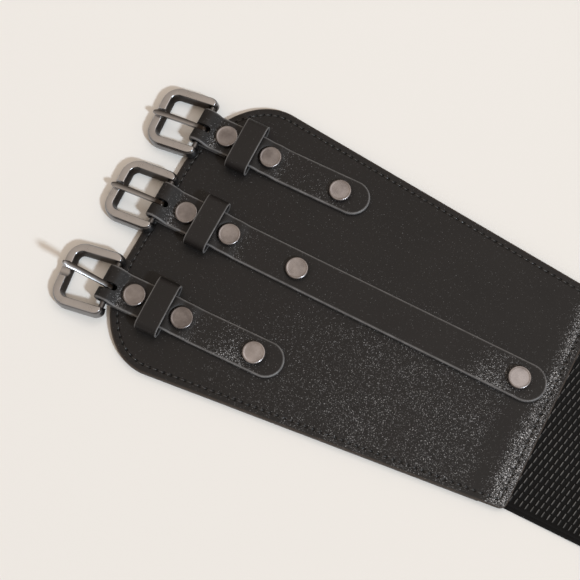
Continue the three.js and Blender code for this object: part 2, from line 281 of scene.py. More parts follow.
def plate(outline, profile, flat=False):
    """Vertices, faces and edge paint of a closed plate, the edge paint standing also for painted light on the
    rounded edges. outline(inset) gives the same number of points for every inset, and its first half mirrors
    its second. profile rows are inset, height and paint.
    A flat plate is closed by one face on each side, one that will be bent by a row of them."""
    corners, paints, faces = [], [], []
    for inset, height, painted in profile:
        ring = outline(inset)
        corners += [Vector((x, y, height)) for x, y in ring]
        paints += [painted] * len(ring)
    count = len(ring)
    for row in range(len(profile) - 1):
        low, high = row * count, (row + 1) * count
        faces += [(low + i, low + (i + 1) % count, high + (i + 1) % count, high + i) for i in range(count)]
    for first, way in ((0, -1), ((len(profile) - 1) * count, 1)):
        if flat:
            faces.append(tuple(range(first, first + count))[::way])
            continue
        for i in range(count // 2):
            quad = [i, i + 1, count - i - 1, (count - i) % count]
            quad = [first + k for k in dict.fromkeys(quad)]
            faces.append(tuple(quad[::way]))
    return corners, faces, paints


def piece(name, corners, faces, finish, body="root", stands_for=None, slot="leather", sharp=40, **paints):
    """Mesh object with smooth shading that rides on a body and stands for its solid."""
    mesh = bpy.data.meshes.new(name)
    mesh.from_pydata([tuple(c) for c in corners], [], faces)
    mesh.validate()
    for layer, values in paints.items():
        mesh.attributes.new(layer, "FLOAT", "POINT").data.foreach_set("value", values)
    mesh.materials.append(finish.material)
    mesh.shade_smooth()
    mesh.set_sharp_from_angle(angle=math.radians(sharp))
    made = bpy.data.objects.new(name, mesh)
    bpy.context.scene.collection.objects.link(made)
    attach(made, body)
    if stands_for:
        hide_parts(*([stands_for] if isinstance(stands_for, str) else stands_for))
    return made


def cut(made, cutters, sharp=40):
    """Takes a mesh of closed cutters away from a piece."""
    corners, faces = [], []
    for more, their_faces in cutters:
        faces += [tuple(len(corners) + i for i in face) for face in their_faces]
        corners += more
    mesh = bpy.data.meshes.new("cutter")
    mesh.from_pydata([tuple(c) for c in corners], [], faces)
    tool = bpy.data.objects.new("cutter", mesh)
    bpy.context.scene.collection.objects.link(tool)
    step = made.modifiers.new("cut", "BOOLEAN")
    step.operation = "DIFFERENCE"
    step.solver = "EXACT"
    step.object = tool
    result = bpy.data.meshes.new_from_object(made.evaluated_get(bpy.context.evaluated_depsgraph_get()))
    made.modifiers.remove(step)
    old = made.data
    made.data = result
    bpy.data.meshes.remove(old)
    bpy.data.objects.remove(tool)
    bpy.data.meshes.remove(mesh)
    mended = bmesh.new()
    mended.from_mesh(result)
    bmesh.ops.remove_doubles(mended, verts=mended.verts, dist=0.002 * MM)
    bmesh.ops.dissolve_degenerate(mended, dist=0.002 * MM, edges=mended.edges)
    bmesh.ops.holes_fill(mended, edges=[e for e in mended.edges if e.is_boundary], sides=0)
    mended.to_mesh(result)
    mended.free()
    result.name = made.name
    result.shade_smooth()
    result.set_sharp_from_angle(angle=math.radians(sharp))


def turned(profile, sides, centre=(0, 0, 0)):
    """Vertices and faces of a form turned about an upright axis. profile rows are radius and height,
    from the bottom of the axis to its top."""
    x, y, z = centre
    corners = [Vector((x, y, z + profile[0][1]))]
    for radius, height in profile[1:-1]:
        corners += [Vector((x + radius * math.cos(math.tau * i / sides),
                            y + radius * math.sin(math.tau * i / sides), z + height)) for i in range(sides)]
    corners.append(Vector((x, y, z + profile[-1][1])))
    rings = len(profile) - 2
    last = len(corners) - 1
    faces = [(0, 1 + (i + 1) % sides, 1 + i) for i in range(sides)]
    for row in range(rings - 1):
        low, high = 1 + row * sides, 1 + (row + 1) * sides
        faces += [(low + i, low + (i + 1) % sides, high + (i + 1) % sides, high + i) for i in range(sides)]
    top = 1 + (rings - 1) * sides
    faces += [(top + i, top + (i + 1) % sides, last) for i in range(sides)]
    return corners, faces


def drill(x, y, radius, top, sides):
    """Cutter for a round hole, from below the table top up to a height."""
    return turned([(0, -MM), (radius, -MM), (radius, top), (0, top)], sides, (x, y, 0))


def block(low, high):
    """Vertices and faces of a box between two corners."""
    (x0, y0, z0), (x1, y1, z1) = low, high
    corners = [Vector(c) for c in ((x0, y0, z0), (x1, y0, z0), (x1, y1, z0), (x0, y1, z0),
                                   (x0, y0, z1), (x1, y0, z1), (x1, y1, z1), (x0, y1, z1))]
    return corners, [(0, 3, 2, 1), (4, 5, 6, 7), (0, 1, 5, 4), (1, 2, 6, 5), (2, 3, 7, 6), (3, 0, 4, 7)]


def panel_outline(length, start, way):
    """Plan outline of a panel for an inset, from the middle of the free edge round and back to it."""
    slope = (panel_half - sewn_half) / (length - corner_long)
    tightest = 8 * MM

    def outline(inset):
        long = max(corner_long - inset, tightest)
        high = max(corner_high - inset, tightest)
        past = math.atan(slope * long / high)
        cx = inset + long
        cy = panel_half - inset - high
        half_at = lambda x: cy + high * math.cos(past) - slope * (x - cx - long * math.sin(past))
        sewn = max(corner_sewn - inset, 0.3 * MM)
        end = length - inset
        lower = [(inset, -cy * i / 30) for i in range(30)]
        for i in range(90):
            angle = math.pi + (math.pi / 2 + past) * i / 90
            lower.append((cx + long * math.cos(angle), -cy + high * math.sin(angle)))
        first, last = cx + long * math.sin(past), end - sewn
        lower += [(first + (last - first) * i / 200, -half_at(first + (last - first) * i / 200))
                  for i in range(200)]
        a, b, c = (last, -half_at(last)), (end, -half_at(end)), (end, -half_at(end) + sewn)
        for i in range(8):
            t = i / 8
            lower.append(tuple((1 - t) ** 2 * p + 2 * t * (1 - t) * q + t * t * r
                               for p, q, r in zip(a, b, c)))
        lower += [(end, c[1] * (1 - i / 60)) for i in range(61)]
        upper = [(x, -y) for x, y in lower[-2:0:-1]]
        ring = [(x + panel_lean * y / panel_half, y) for x, y in lower + upper]
        if way < 0:
            ring = [(-x, y) for x, y in ring]
            ring = [ring[0]] + ring[:0:-1]
        return [(start + x, y) for x, y in ring]

    return outline


def seam_line(ring):
    """Points of a ring with the length run so far."""
    run = [0.0]
    for (x0, y0), (x1, y1) in zip(ring, ring[1:] + ring[:1]):
        run.append(run[-1] + math.hypot(x1 - x0, y1 - y0))
    pitches = round(run[-1] / stitch_pitch)
    return [r * pitches / run[-1] for r in run], pitches


# Rows are inset, height and the share of light edge paint, which is painted light where the edge rounds over.
panel_edge = [
    (44 * MM, 0, 0), (20 * MM, 0, 0), (6 * MM, 0, 0), (0.9 * MM, 0, 0), (0.35 * MM, 0.08 * MM, 0),
    (0.08 * MM, 0.35 * MM, 0.2), (0, 0.8 * MM, 0.5), (0.05 * MM, 1.35 * MM, 0.4), (0.12 * MM, 1.5 * MM, 0),
    (0.05 * MM, 1.65 * MM, 0.4), (0, 2.15 * MM, 0.6), (0.08 * MM, 2.55 * MM, 0.9), (0.3 * MM, 2.84 * MM, 1.0),
    (0.6 * MM, 2.95 * MM, 0.35), (1.0 * MM, panel_thick, 0), (2.2 * MM, panel_thick, 0),
    (2.7 * MM, 2.99 * MM, 0), (3.0 * MM, 2.94 * MM, 0), (seam_inset, 2.91 * MM, 0), (3.6 * MM, 2.94 * MM, 0),
    (3.9 * MM, 2.99 * MM, 0), (4.4 * MM, panel_thick, 0), (6 * MM, panel_thick, 0), (8 * MM, panel_thick, 0),
    (11 * MM, panel_thick, 0), (14 * MM, panel_thick, 0), (17 * MM, panel_thick, 0),
    (22 * MM, panel_thick, 0), (27 * MM, panel_thick, 0), (35 * MM, panel_thick, 0),
    (44 * MM, panel_thick, 0),
]
hole_deep = 0.35 * MM
thread = Finish("waxed_thread", Specular_IOR_Level=0.7)
ply = thread.node("TexWave", {"bands_direction": "DIAGONAL"},
                  {"Vector": thread.place(), "Scale": 900.0, "Distortion": 1.0})
thread.varies(Base_Color=thread.mix(ply, paint(10, 9, 9), paint(48, 46, 45)), Roughness=0.35 + 0.2 * ply,
              Normal=thread.bump(ply, 0.00004))
cap_gap = 0.3 * MM
post_radius = 1.4 * MM
back_radius = 3.5 * MM
back_thick = 0.6 * MM
elastic_thick = 1.4 * MM
elastic_tuck = 12 * MM


def stitches(name, ring, height):
    """Row of short waxed stitches that dip into the leather at both ends."""
    run, pitches = seam_line(ring)
    ring = ring + ring[:1]
    corners, faces = [], []
    sides, steps = 6, 6
    for k in range(pitches):
        path = []
        for j in range(steps + 1):
            share = j / steps
            at = k + 0.5 - 0.36 + 0.72 * share
            i = int(np.searchsorted(run, at % pitches, side="right")) - 1
            t = (at % pitches - run[i]) / (run[i + 1] - run[i])
            x = ring[i][0] + (ring[i + 1][0] - ring[i][0]) * t
            y = ring[i][1] + (ring[i + 1][1] - ring[i][1]) * t
            path.append(Vector((x, y, height + 0.16 * MM * math.sin(math.pi * share) - 0.1 * MM)))
        first = len(corners)
        ahead = (path[-1] - path[0]).normalized()
        side = Vector((-ahead.y, ahead.x, 0))
        for j, point in enumerate(path):
            thick = (0.34 * MM) * max(math.sin(math.pi * (0.06 + 0.88 * j / steps)), 0.2) ** 0.5
            corners += [point + side * thick * math.cos(math.tau * s / sides)
                        + Vector((0, 0, thick * math.sin(math.tau * s / sides))) for s in range(sides)]
        for j in range(steps):
            low, high = first + j * sides, first + (j + 1) * sides
            faces += [(low + s, low + (s + 1) % sides, high + (s + 1) % sides, high + s)
                      for s in range(sides)]
        faces.append(tuple(first + s for s in range(sides - 1, -1, -1)))
        faces.append(tuple(first + steps * sides + s for s in range(sides)))
    piece(name, corners, faces, thread, slot="leather", sharp=60)


def panel_glint(x, y, length):
    """Share of painted glints on the buckle panel: a band along the sewn end, then a smooth strip, and a
    broad field on the lower side."""
    from_end = length - x
    lower_side = min(max((4 * MM - y) / (40 * MM), 0), 1)
    band = 0.95 * math.exp(-((from_end - 4.5 * MM) / ((3 + 2.2 * lower_side) * MM)) ** 2)
    field = min(max((x - 40 * MM) / (80 * MM), 0), 1) * min(max((16 * MM - y) / (34 * MM), 0), 1)
    smooth = math.exp(-((from_end - 14 * MM) / (5 * MM)) ** 4)
    return min(0.04 + band + 0.3 * field * (1 - smooth), 1.0)


def make_panel(node, way, rivet_nodes):
    low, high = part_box(node)
    lean = panel_lean * (panel_half - corner_high) / panel_half
    start = low.x + lean if way > 0 else high.x - lean
    webbing_low, webbing_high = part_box("elastic_band")
    end = webbing_low.x + elastic_tuck if way > 0 else webbing_high.x - elastic_tuck
    length = abs(end - start)
    outline = panel_outline(length, start, way)
    corners, faces, paints = plate(outline, panel_edge, flat=True)
    ring = outline(seam_inset)
    run, pitches = seam_line(ring)
    seam_row = [row[0] for row in panel_edge].index(seam_inset)
    for row, share in ((seam_row - 1, 0.45), (seam_row, 1.0), (seam_row + 1, 0.45)):
        for i in range(len(ring)):
            near = max(math.cos(math.tau * run[i]), 0) ** 6
            corners[row * len(ring) + i].z -= hole_deep * share * near
    ends = [row[0] for row in panel_edge]
    spans = run[:-1]
    across = [inset for inset in ends for _ in spans]
    glint = [panel_glint(c.x - start, c.y, length) if way > 0 else 0.06 for c in corners]
    made = piece(node + "_leather", corners, faces, panel_leather, stands_for=node, edge=paints,
                 run=list(spans) * len(ends), inset=across, glint=glint)
    inner = end - way * (elastic_tuck + cap_gap)
    past = end + way * 2 * MM
    cutters = [block((min(inner, past), -panel_half, -panel_thick),
                     (max(inner, past), panel_half, elastic_thick + cap_gap))]
    for rivet in rivet_nodes:
        near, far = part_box(rivet)
        x, y = (near.x + far.x) / 2, (near.y + far.y) / 2
        cutters.append(turned([(0, -MM), (back_radius + cap_gap, -MM),
                               (back_radius + cap_gap, back_thick + 2 * cap_gap),
                               (post_radius + cap_gap, back_thick + 2 * cap_gap),
                               (post_radius + cap_gap, 4 * MM), (0, 4 * MM)], 31, (x, y, 0)))
    cut(made, cutters)
    stitches(node + "_seam", ring, 2.92 * MM)
    return start


rivets = sorted(n for n in frame["nodes"] if n.startswith("stud_"))
billet_rivets = sorted(n for n in frame["nodes"] if n.startswith("billet_stud_"))
free_edge = make_panel("buckle_panel", 1, rivets)
make_panel("billet_panel", -1, billet_rivets)


# Elastic band
# Heavy black webbing, 100 mm wide, woven with raised floats that lie slantwise in staggered rows, and
# a flat ribbed selvage on each side. It is sewn in under both panels.

low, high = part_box("elastic_band")
band_half = high.y
selvage = 3.2 * MM
float_pitch = 2.4 * MM
row_pitch = 3.2 * MM
row_shift = 0.85 * MM
float_long = 3.05 * MM
float_wide = 1.5 * MM
float_high = 0.42 * MM
float_slant = math.radians(10.5)
base_high = 1.12 * MM

webbing = Finish("black_webbing", Specular_IOR_Level=0.18)
yarn = webbing.node("TexWave", {"bands_direction": "Y"},
                    {"Vector": webbing.place(), "Scale": 620.0, "Distortion": 1.2, "Detail": 2.0})
fuzz = webbing.noise(2600, 3, 0.6)
# Painted highlight: the crests of the floats carry a light grey.
crest_highlight = webbing.node("Attribute", {"attribute_name": "edge"}, output=2)
dark_yarn = webbing.mix(fuzz, paint(4, 4, 4), paint(11, 10, 11))
webbing.varies(Base_Color=webbing.mix(crest_highlight, dark_yarn, paint(128, 127, 126)), Roughness=0.62 + 0.2 * fuzz,
               Normal=webbing.bump(yarn + fuzz * 0.7, 0.00005))

section = [(-band_half, 0.4), (-band_half + 0.4 * MM, 0.05), (band_half - 0.4 * MM, 0.05), (band_half, 0.4),
           (band_half, 0.9), (band_half - 0.3 * MM, 1.35), (band_half - 1.2 * MM, 1.4),
           (band_half - 1.5 * MM, 1.2), (band_half - 1.8 * MM, 1.4), (band_half - 2.8 * MM, 1.38),
           (band_half - selvage, base_high / MM), (-band_half + selvage, base_high / MM),
           (-band_half + 2.8 * MM, 1.38), (-band_half + 1.8 * MM, 1.4), (-band_half + 1.5 * MM, 1.2),
           (-band_half + 1.2 * MM, 1.4), (-band_half + 0.3 * MM, 1.35), (-band_half, 0.9)]
corners = [Vector((x, y, z * MM)) for x in (low.x, high.x) for y, z in section]
count = len(section)
faces = [(i, (i + 1) % count, (i + 1) % count + count, i + count) for i in range(count)]
faces += [tuple(range(count - 1, -1, -1)), tuple(range(count, 2 * count))]
band = piece("elastic_band_webbing", corners, faces, webbing, stands_for="elastic_band", slot="elastic",
             edge=[0.0] * len(corners))

corners, faces, paints = [], [], []
shown_from, shown_to = low.x + elastic_tuck - 3 * MM, high.x - elastic_tuck + 3 * MM
columns = int((shown_to - shown_from) / float_pitch)
rows = int((2 * (band_half - selvage)) / row_pitch)
# A float's cross rows are side, height and painted highlight, lightest on the crest; its rows along it are
# place, lift and width. bright varies the painted highlight from float to float.
across = [(-1.0, 0.0, 0.0), (-0.62, 0.72, 0.0), (-0.25, 0.97, 0.15), (0.0, 1.0, 1.0), (0.25, 0.97, 0.15),
          (0.62, 0.72, 0.0), (1.0, 0.0, 0.0)]
down = [(-0.5, 0.0, 0.35), (-0.36, 0.85, 0.9), (0.0, 1.0, 1.0), (0.36, 0.85, 0.9), (0.5, 0.0, 0.35)]
for r in range(rows):
    y = -band_half + selvage + row_pitch * (r + 0.5)
    for c in range(columns):
        x = shown_from + float_pitch * (c + 0.5) + (row_shift * r) % float_pitch - float_pitch / 2
        x += random.uniform(-0.06, 0.06) * MM
        bright = random.uniform(0.55, 1.0)
        first = len(corners)
        for share, lift, wide in down:
            for side, height, lit in across:
                along = share * float_long
                off = side * float_wide / 2 * wide
                corners.append(Vector((x + off * math.cos(float_slant) + along * math.sin(float_slant),
                                       y - off * math.sin(float_slant) + along * math.cos(float_slant),
                                       base_high - 0.05 * MM + float_high * lift * height)))
                paints.append(lit * bright * (1.0 if lift else 0.0))
        n = len(across)
        for j in range(len(down) - 1):
            faces += [(first + j * n + i, first + j * n + i + 1, first + (j + 1) * n + i + 1,
                       first + (j + 1) * n + i) for i in range(n - 1)]
        last = first + (len(down) - 1) * n
        faces.append(tuple(first + j * n for j in range(len(down) - 1, -1, -1))
                     + tuple(first + i for i in range(1, n))
                     + tuple(first + j * n + n - 1 for j in range(1, len(down)))
                     + tuple(last + i for i in range(n - 2, 0, -1)))
piece("elastic_band_floats", corners, faces, webbing, slot="elastic", edge=paints, sharp=80)


# Buckle straps
# Each strap is leather 1.6 mm thick with painted edges, painted light grey as a painted highlight where
# they round over. It goes round the heel bar of its buckle and back under itself to the first rivet, passes
# through its keeper, and comes down at the second rivet. Painted glints are sprinkled on it in bands.

strap_thick = 1.6 * MM
lie_gap = 0.3 * MM
bar_radius = 1.25 * MM
under_lap = 3 * MM
cap_radius = 5 * MM
keeper_wide = 10 * MM
on_panel = panel_thick + lie_gap
upper_layer = on_panel + strap_thick + lie_gap
fold_radius = bar_radius + lie_gap + strap_thick / 2
bar_height = on_panel + strap_thick / 2 + fold_radius
prong_wide = 2.2 * MM
prong_thick = 1.6 * MM
prong_slide = -0.8 * MM
slot_play = 0.4 * MM
eye_radius = bar_radius + lie_gap + prong_thick
slot_past = 0.6 * MM
# Rows are inset, height and the share of light edge paint, a painted highlight where the edge rounds over.
strap_edge = [
    (7.0 * MM, -0.8 * MM, 0), (3.0 * MM, -0.8 * MM, 0), (0.7 * MM, -0.8 * MM, 0),
    (0.25 * MM, -0.72 * MM, 0.2), (0, -0.45 * MM, 0.5), (0, 0.2 * MM, 0.75),
    (0.1 * MM, 0.5 * MM, 1.0), (0.32 * MM, 0.72 * MM, 1.0),
    (0.6 * MM, 0.8 * MM, 0.45), (0.95 * MM, 0.8 * MM, 0.0), (1.6 * MM, 0.8 * MM, 0), (2.4 * MM, 0.8 * MM, 0),
    (3.3 * MM, 0.8 * MM, 0), (4.3 * MM, 0.8 * MM, 0), (5.4 * MM, 0.8 * MM, 0), (6.4 * MM, 0.8 * MM, 0),
    (7.0 * MM, 0.8 * MM, 0),
]
# The light grey on the straps' edge paint is a painted highlight where the edges round over; billets share
# it.
strap_leather = leather("strap_leather", (17, 14, 14), (124, 123, 124))
settle = 7 * MM


def strap_outline(length, width, spacing):
    """Flat plan outline of a strap that is square at its start and round at its tip."""
    stations = np.linspace(width / 2, length - width / 2, max(int(length / spacing), 4))

    def outline(inset):
        half = width / 2 - inset
        lower = [(inset, -half * i / 4) for i in range(4)] + [(inset, -half)]
        lower += [(x, -half) for x in stations]
        for i in range(1, 25):
            angle = -math.pi / 2 + math.pi / 2 * i / 24
            lower.append((length - width / 2 + half * math.cos(angle), half * math.sin(angle)))
        return lower + [(x, -y) for x, y in lower[-2:0:-1]]

    return outline


def route(points):
    """Place and direction for a length run along a line of points in a side view."""
    line = np.array(points)
    run = np.concatenate([[0], np.cumsum(np.hypot(*np.diff(line, axis=0).T))])
    ahead = np.gradient(line, run, axis=0)
    ahead /= np.hypot(*ahead.T)[:, None]
    return run[-1], lambda s: [float(np.interp(s, run, v)) for v in (*line.T, *ahead.T)]


def ease(x0, z0, x1, z1, steps=14):
    """Smooth change of level."""
    return [(x0 + (x1 - x0) * i / steps, z0 + (z1 - z0) * (1 - math.cos(math.pi * i / steps)) / 2)
            for i in range(steps + 1)]


def joint(name):
    return next(j for j in frame["joints"] if j["name"] == name)


def rivet_seat(node):
    near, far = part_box(node)
    return Vector(((near.x + far.x) / 2, (near.y + far.y) / 2, far.z - 1.5 * MM - lie_gap))


def heel_frame(which):
    """Place and turn of a buckle's heel bar: local Y along the bar and Z up."""
    made = joint("frame_swing_" + which)
    y = Vector(made["axis"]).normalized()
    x = y.cross(Vector((0, 0, 1)))
    turned_by = Matrix((x, y, Vector((0, 0, 1)))).transposed().to_4x4()
    return Matrix.Translation(made["pos_m"]) @ turned_by


def rounded_slot(place, long_from, long_to, half, low, high):
    """Cutter for a slot with round ends, in a local plan."""
    ring = [(long_to - half + half * math.cos(a), half * math.sin(a))
            for a in (math.pi * (i / 10 - 0.5) for i in range(11))]
    ring += [(long_from + half - half * math.cos(a), -half * math.sin(a))
             for a in (math.pi * (i / 10 - 0.5) for i in range(11))]
    corners = [place @ Vector((x, y, z)) for z in (low, high) for x, y in ring]
    n = len(ring)
    faces = [(i, (i + 1) % n, (i + 1) % n + n, i + n) for i in range(n)]
    return corners, faces + [tuple(range(n - 1, -1, -1)), tuple(range(n, 2 * n))]


def make_strap(which, width):
    node = "strap_" + which
    nodes = sorted(n for n in frame["nodes"] if n.startswith(node))
    low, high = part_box(node)[0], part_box(nodes[-1])[1]
    places = [rivet_seat(n) for n in rivets if n.startswith("stud_" + which)]
    ahead = places[-1] - places[0]
    tilt = math.atan2(ahead.y, ahead.x)
    turn_back = Matrix.Rotation(-tilt, 3, "Z")
    origin = Vector((free_edge, places[0].y - (places[0].x - free_edge) * math.tan(tilt), 0))
    local = [turn_back @ (p - origin) for p in places]
    tip = (high.x - free_edge) / math.cos(tilt)
    heel = heel_frame(which)
    bar = (turn_back @ (heel.translation - origin)).x
    keeper_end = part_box("keeper_" + which)[1].x - free_edge
    fold_at = low.x - free_edge + width / 2 * abs(math.sin(tilt)) + strap_thick / 2 + fold_radius
    upper, lower = upper_layer + strap_thick / 2, on_panel + strap_thick / 2
    line = [(local[0].x + under_lap, lower), (local[0].x - 2 * MM, lower), (bar + 2 * MM, lower)]
    for i in range(25):
        angle = -math.pi / 2 - math.pi * i / 24
        line.append((fold_at + fold_radius * math.cos(angle), bar_height + fold_radius * math.sin(angle)))
    line += ease(2 * bar - fold_at, bar_height + fold_radius, local[0].x - cap_radius, upper)
    landed = lower + places[1].z - on_panel - strap_thick
    line += ease(keeper_end, upper, local[1].x - post_radius, landed)
    line += ease(local[1].x + post_radius, landed, local[1].x + settle, lower)
    line.append((tip, lower))
    length, at = route(line)
    corners, faces, paints = plate(strap_outline(length, width, 0.75 * MM), strap_edge)
    place = Matrix.Translation(origin) @ Matrix.Rotation(tilt, 4, "Z")
    over = length - (tip - bar)
    last = local[-1].x
    # Bands of painted glints: between the fold and the first rivet, past the second rivet, and before the
    # last.
    bands = [(local[0].x - 5 * MM, 3 * MM, 0.35), (local[1].x + 6 * MM, 4 * MM, 0.2),
             (last - 9 * MM, 10 * MM, 0.42 if which != "top" else 0.12)]
    glint = []
    for corner in corners:
        flat, y, rise = corner
        x, z, tx, tz = at(flat)
        sink = 0.0
        shine = sum(most * math.exp(-((x - middle) / wide) ** 2) for middle, wide, most in bands)
        glint.append(min(0.05 + shine * (1 - 1.4 * y / width), 1.0) if rise > 0 else 0.05)
        if flat > over:
            for seat, centre in zip(places[1:], local[1:]):
                off = math.hypot(x - centre.x, y)
                rim = cap_radius + 0.25 * MM
                level = seat.z - 0.05 * MM + max(off - rim, 0) * 1.3
                sink = max(sink, z + strap_thick / 2 - level)
            z = max(z - sink, lower - 0.02 * MM)
            if rise > 0:
                for centre in local:
                    off = math.hypot(x - centre.x, y) - cap_radius
                    rise -= 0.16 * MM * math.exp(-(off / (1.1 * MM)) ** 2) if abs(off) < 4 * MM else 0
        corner.x, corner.y, corner.z = place @ Vector((x - rise * tz, y, z + rise * tx))
    made = piece(node + "_leather", corners, faces, strap_leather, stands_for=nodes, edge=paints, glint=glint)
    half = prong_wide / 2 + slot_play
    aside = heel @ Matrix.Translation((0, prong_slide, 0))
    cutters = [rounded_slot(aside, -eye_radius - slot_past - 4 * MM, eye_radius + slot_past, half,
                            -5 * MM, 6 * MM)]
    for seat in places:
        cutters.append(drill(seat.x, seat.y, post_radius + cap_gap, 0.02, 24))
    cut(made, cutters)


for which, width in (("top", 16 * MM), ("middle", 17 * MM), ("bottom", 16 * MM)):
    make_strap(which, width)


# Keepers
# Closed loops of the same leather round each strap between its first two rivets, with room above the
# strap for the billet. Their ends turn down in a tight bend and their cut edges are painted, in a light
# grey that is a painted highlight.

keeper_thick = 1.3 * MM
keeper_bend = 3.45 * MM
keeper_crown = 0.25 * MM
# Rows are place across the width, offset through the thickness, and the share of light edge paint (painted
# highlight).
keeper_section = [
    (-1, -0.6, 0.6), (-0.96, -0.95, 0.2), (-0.9, -1, 0), (0.9, -1, 0), (0.96, -0.95, 0.2), (1, -0.6, 0.6),
    (1, -0.1, 1), (0.985, -0.03, 1), (0.95, 0, 0.6), (0.88, 0, 0), (0.5, 0, 0), (0, 0, 0), (-0.5, 0, 0),
    (-0.88, 0, 0), (-0.95, 0, 0.6), (-0.985, -0.03, 1), (-1, -0.1, 1),
]
# The light grey on the keepers' edge paint is a painted highlight on their cut edges.
keeper_leather = leather("keeper_leather", (18, 15, 15), (128, 127, 128))


def make_keeper(which):
    node = "keeper_" + which
    low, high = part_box(node)
    places = [rivet_seat(n) for n in rivets if n.startswith("stud_" + which)]
    ahead = places[-1] - places[0]
    tilt = math.atan2(ahead.y, ahead.x)
    centre = (low + high) / 2
    half_long = keeper_wide / 2
    span = (high.y - low.y - keeper_wide * abs(math.sin(tilt))) / 2 / math.cos(tilt)
    rise = (high.z - low.z) / 2
    loop = []
    bends = ((1, -1, -90), (1, 1, 0), (-1, 1, 90), (-1, -1, 180))
    for sy, sz, start in bends:
        for i in range(13):
            angle = math.radians(start + 90 * i / 12)
            loop.append((sy * (span - keeper_bend) + keeper_bend * math.cos(angle),
                         sz * (rise - keeper_bend) + keeper_bend * math.sin(angle),
                         math.cos(angle), math.sin(angle)))
        y0, z0 = loop[-1][:2]
        if sy * sz > 0:
            crown = keeper_crown if sz > 0 else 0
            flat = 2 * sy * (span - keeper_bend)
            loop += [(y0 - flat * k / 8, z0 + crown * math.sin(math.pi * k / 8), 0.0, float(sz))
                     for k in range(1, 8)]
    section = [(x * half_long, out * keeper_thick, painted) for x, out, painted in keeper_section]
    place = Matrix.Translation(centre) @ Matrix.Rotation(tilt, 4, "Z")
    corners, faces, paints = [], [], []
    for y, z, ny, nz in loop:
        for x, out, painted in section:
            corners.append(place @ Vector((x, y + out * ny, z + out * nz)))
            paints.append(painted)
    n, m = len(section), len(loop)
    faces = [(i * n + j, i * n + (j + 1) % n, ((i + 1) % m) * n + (j + 1) % n, ((i + 1) % m) * n + j)
             for i in range(m) for j in range(n)]
    piece(node + "_leather", corners, faces, keeper_leather, stands_for=node, edge=paints)


for which in ("top", "middle", "bottom"):
    make_keeper(which)


# Rivets
# Double-cap rivets in satin gunmetal. The cap is a flat disc with a rolled rim, and the post goes
# through strap and panel into a thin cap let into the back.

def gunmetal(name, tone, spread, rough):
    """Dark nickel plating: smooth, slightly cloudy, with faint brushing; the lighter and darker patches of
    its colour are a painted reflection. A point attribute darkens the walls and sides that face away from the
    light with a painted shade."""
    finish = Finish(name, Metallic=1.0)
    cloud = finish.noise(190, 3, 0.55)
    drift = finish.noise(38, 1, 0.5)
    fine = finish.noise(2200, 2, 0.5)
    # Painted reflection: lighter and darker cloudy patches in the colour.
    reflection_blotch = (cloud * 0.5 + drift * 0.5).above(0.5, 0.16)
    shade = finish.mix(reflection_blotch, paint(*[c - spread for c in tone]), paint(*[c + spread for c in tone]))
    dulled = finish.node("Attribute", {"attribute_name": "dulled"}, output=2)
    shade = finish.mix(dulled, shade, paint(52, 47, 44))
    return finish.varies(Base_Color=shade, Roughness=rough + 0.14 * cloud + 0.05 * fine,
                         Normal=finish.bump(fine + cloud * 2, 0.000006))


rivet_metal = gunmetal("rivet_gunmetal", (134, 130, 131), 27, 0.24)
cap_profile = [
    (4.5, 0), (4.86, 0.1), (5.0, 0.4), (5.0, 0.85), (4.93, 1.15), (4.76, 1.38), (4.5, 1.5), (4.25, 1.48),
    (4.05, 1.42), (3.7, 1.4), (2.0, 1.42),
]


def make_rivet(node):
    near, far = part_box(node)
    centre = ((near.x + far.x) / 2, (near.y + far.y) / 2, 0)
    base = far.z - 1.5 * MM
    back = near.z
    profile = [(0, back), (back_radius - 0.25 * MM, back), (back_radius, back + 0.2 * MM),
               (back_radius, back + back_thick), (post_radius, back + back_thick), (post_radius, base)]
    profile += [(r * MM, base + z * MM) for r, z in cap_profile] + [(0, base + 1.44 * MM)]
    corners, faces = turned(profile, 56, centre)
    piece(node + "_rivet", corners, faces, rivet_metal, stands_for=node, slot="hardware", sharp=50)


for node in rivets + billet_rivets:
    make_rivet(node)


# Buckles
# Cast gunmetal frames with a flat polished face and drafted walls, the walls painted darker as painted
# shade, in one with the heel bar that the strap is folded round. Each lies with its outer end on the
# table, and its end has a round notch.

frame_tall = 30.2 * MM
frame_reach = 23.8 * MM
frame_tail = 1.9 * MM
frame_thick = 4.6 * MM
arm_wide = 5.2 * MM
end_wide = 5.2 * MM
frame_corner = 8.3 * MM
frame_inner = 2.4 * MM
notch_radius = 2.4 * MM
notch_deep = 1.3 * MM
floor_gap = 0.05 * MM
frame_pitch = (math.asin((bar_height - floor_gap) / math.hypot(frame_reach, frame_thick / 2))
               - math.atan2(frame_thick / 2, frame_reach))
buckle_metal = gunmetal("buckle_gunmetal", (186, 187, 191), 8, 0.2)
# Rows are outside inset, inside inset and height, then the painted shade on the outside and on the inside
# walls.
frame_profile = [
    (0.7, 0.5, -2.3, 0.6, 0.9), (0.25, 0.15, -2.2, 0.6, 0.95), (0.03, 0.0, -1.9, 0.55, 1.0),
    (0.0, 0.05, -1.4, 0.6, 1.0), (0.1, 0.35, 0.0, 0.6, 1.0), (0.3, 0.6, 1.0, 0.55, 0.95),
    (0.5, 0.75, 1.45, 0.5, 0.9), (0.78, 0.82, 1.72, 0.8, 0.85), (0.86, 0.88, 1.92, 0.8, 0.8),
    (0.92, 0.98, 2.12, 0.3, 0.4), (1.04, 1.12, 2.25, 0.0, 0.0), (1.25, 1.3, 2.3, 0.0, 0.0),
]


def arc(cx, cy, radius, start, stop, steps, side):
    return [(cx + radius * math.cos(math.radians(start + (stop - start) * i / steps)),
             cy + radius * math.sin(math.radians(start + (stop - start) * i / steps)), side)
            for i in range(steps + 1)]


